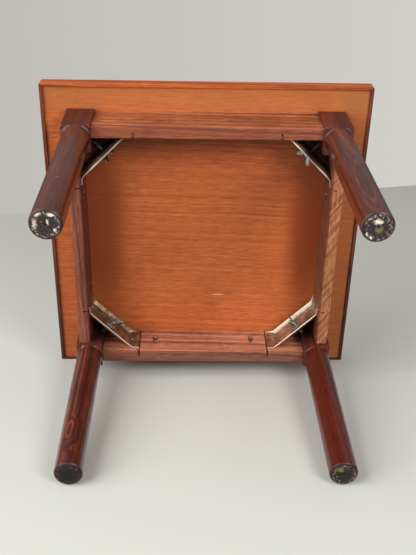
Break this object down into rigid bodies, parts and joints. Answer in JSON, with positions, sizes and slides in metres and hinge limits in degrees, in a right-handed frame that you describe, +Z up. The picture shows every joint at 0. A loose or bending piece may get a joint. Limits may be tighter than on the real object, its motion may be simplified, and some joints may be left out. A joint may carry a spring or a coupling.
{
  "type": "side table",
  "caption": "Square side table with turned, bolt-on legs: pressed steel corner brackets hooked into the rails draw each leg in with a hanger bolt, washer and wing nut.",
  "frame": {"origin": "on the floor under the middle of the top", "axes": "+Z up out of the tabletop, the legs stand on z = 0; the front is at -Y; the square top's edges run along X and Y"},
  "size_m": [0.6, 0.6, 0.445],
  "materials": {
    "veneer": "open-pored oiled teak veneer",
    "lipping_wood": "oiled solid teak edge strip",
    "rail_wood": "oiled solid teak",
    "leg_wood": "dark stained and oiled hardwood",
    "bracket_steel": "pressed mild steel with a dull plated finish",
    "bolt_steel": "machine threaded steel, dull",
    "washer_zinc": "dull zinc plate",
    "nut_zinc": "dull zinc plate on cast steel",
    "screw_steel": "bright plated steel"
  },
  "bodies": {
    "table": {"top_panel": "veneer", "lipping_front": "lipping_wood", "lipping_right": "lipping_wood", "lipping_back": "lipping_wood", "lipping_left": "lipping_wood", "rail_front": "rail_wood", "rail_right": "rail_wood", "rail_back": "rail_wood", "rail_left": "rail_wood", "leg_front_left": "leg_wood", "leg_front_right": "leg_wood", "leg_back_left": "leg_wood", "leg_back_right": "leg_wood", "bracket_front_left": "bracket_steel", "bracket_front_right": "bracket_steel", "bracket_back_left": "bracket_steel", "bracket_back_right": "bracket_steel", "hanger_bolt_front_left": "bolt_steel", "hanger_bolt_front_right": "bolt_steel", "hanger_bolt_back_left": "bolt_steel", "hanger_bolt_back_right": "bolt_steel", "tab_screw_front_left": "screw_steel", "tab_screw_front_right": "screw_steel", "tab_screw_right_front": "screw_steel", "tab_screw_right_back": "screw_steel", "tab_screw_back_right": "screw_steel", "tab_screw_back_left": "screw_steel", "tab_screw_left_back": "screw_steel", "tab_screw_left_front": "screw_steel", "top_screw_front_left": "screw_steel", "top_screw_front_right": "screw_steel", "top_screw_right_front": "screw_steel", "top_screw_right_back": "screw_steel", "top_screw_back_right": "screw_steel", "top_screw_back_left": "screw_steel", "top_screw_left_back": "screw_steel", "top_screw_left_front": "screw_steel"},
    "washer_body_front_left": {"washer_front_left": "washer_zinc"},
    "wing_nut_body_front_left": {"wing_nut_front_left": "nut_zinc"},
    "washer_body_front_right": {"washer_front_right": "washer_zinc"},
    "wing_nut_body_front_right": {"wing_nut_front_right": "nut_zinc"},
    "washer_body_back_left": {"washer_back_left": "washer_zinc"},
    "wing_nut_body_back_left": {"wing_nut_back_left": "nut_zinc"},
    "washer_body_back_right": {"washer_back_right": "washer_zinc"},
    "wing_nut_body_back_right": {"wing_nut_back_right": "nut_zinc"}
  },
  "joints": [
    {"name": "nut_travel_front_left", "type": "slide", "parent": "table", "child": "washer_body_front_left", "axis": [0.7071, 0.7071, 0], "range_m": [0, 0.012]},
    {"name": "nut_turn_front_left", "type": "hinge", "parent": "washer_body_front_left", "child": "wing_nut_body_front_left", "pos_m": [-0.18689, -0.18689, 0.39], "axis": [0.7071, 0.7071, 0], "range_deg": [0, 4320]},
    {"name": "nut_travel_front_right", "type": "slide", "parent": "table", "child": "washer_body_front_right", "axis": [-0.7071, 0.7071, 0], "range_m": [0, 0.012]},
    {"name": "nut_turn_front_right", "type": "hinge", "parent": "washer_body_front_right", "child": "wing_nut_body_front_right", "pos_m": [0.18689, -0.18689, 0.39], "axis": [-0.7071, 0.7071, 0], "range_deg": [0, 4320]},
    {"name": "nut_travel_back_left", "type": "slide", "parent": "table", "child": "washer_body_back_left", "axis": [0.7071, -0.7071, 0], "range_m": [0, 0.012]},
    {"name": "nut_turn_back_left", "type": "hinge", "parent": "washer_body_back_left", "child": "wing_nut_body_back_left", "pos_m": [-0.18689, 0.18689, 0.39], "axis": [0.7071, -0.7071, 0], "range_deg": [0, 4320]},
    {"name": "nut_travel_back_right", "type": "slide", "parent": "table", "child": "washer_body_back_right", "axis": [-0.7071, -0.7071, 0], "range_m": [0, 0.012]},
    {"name": "nut_turn_back_right", "type": "hinge", "parent": "washer_body_back_right", "child": "wing_nut_body_back_right", "pos_m": [0.18689, 0.18689, 0.39], "axis": [-0.7071, -0.7071, 0], "range_deg": [0, 4320]}
  ],
  "couplings": [
    {"joint": "nut_turn_front_left", "follows": "nut_travel_front_left", "rad_per_m": 6283.2},
    {"joint": "nut_turn_front_right", "follows": "nut_travel_front_right", "rad_per_m": 6283.2},
    {"joint": "nut_turn_back_left", "follows": "nut_travel_back_left", "rad_per_m": 6283.2},
    {"joint": "nut_turn_back_right", "follows": "nut_travel_back_right", "rad_per_m": 6283.2}
  ]
}
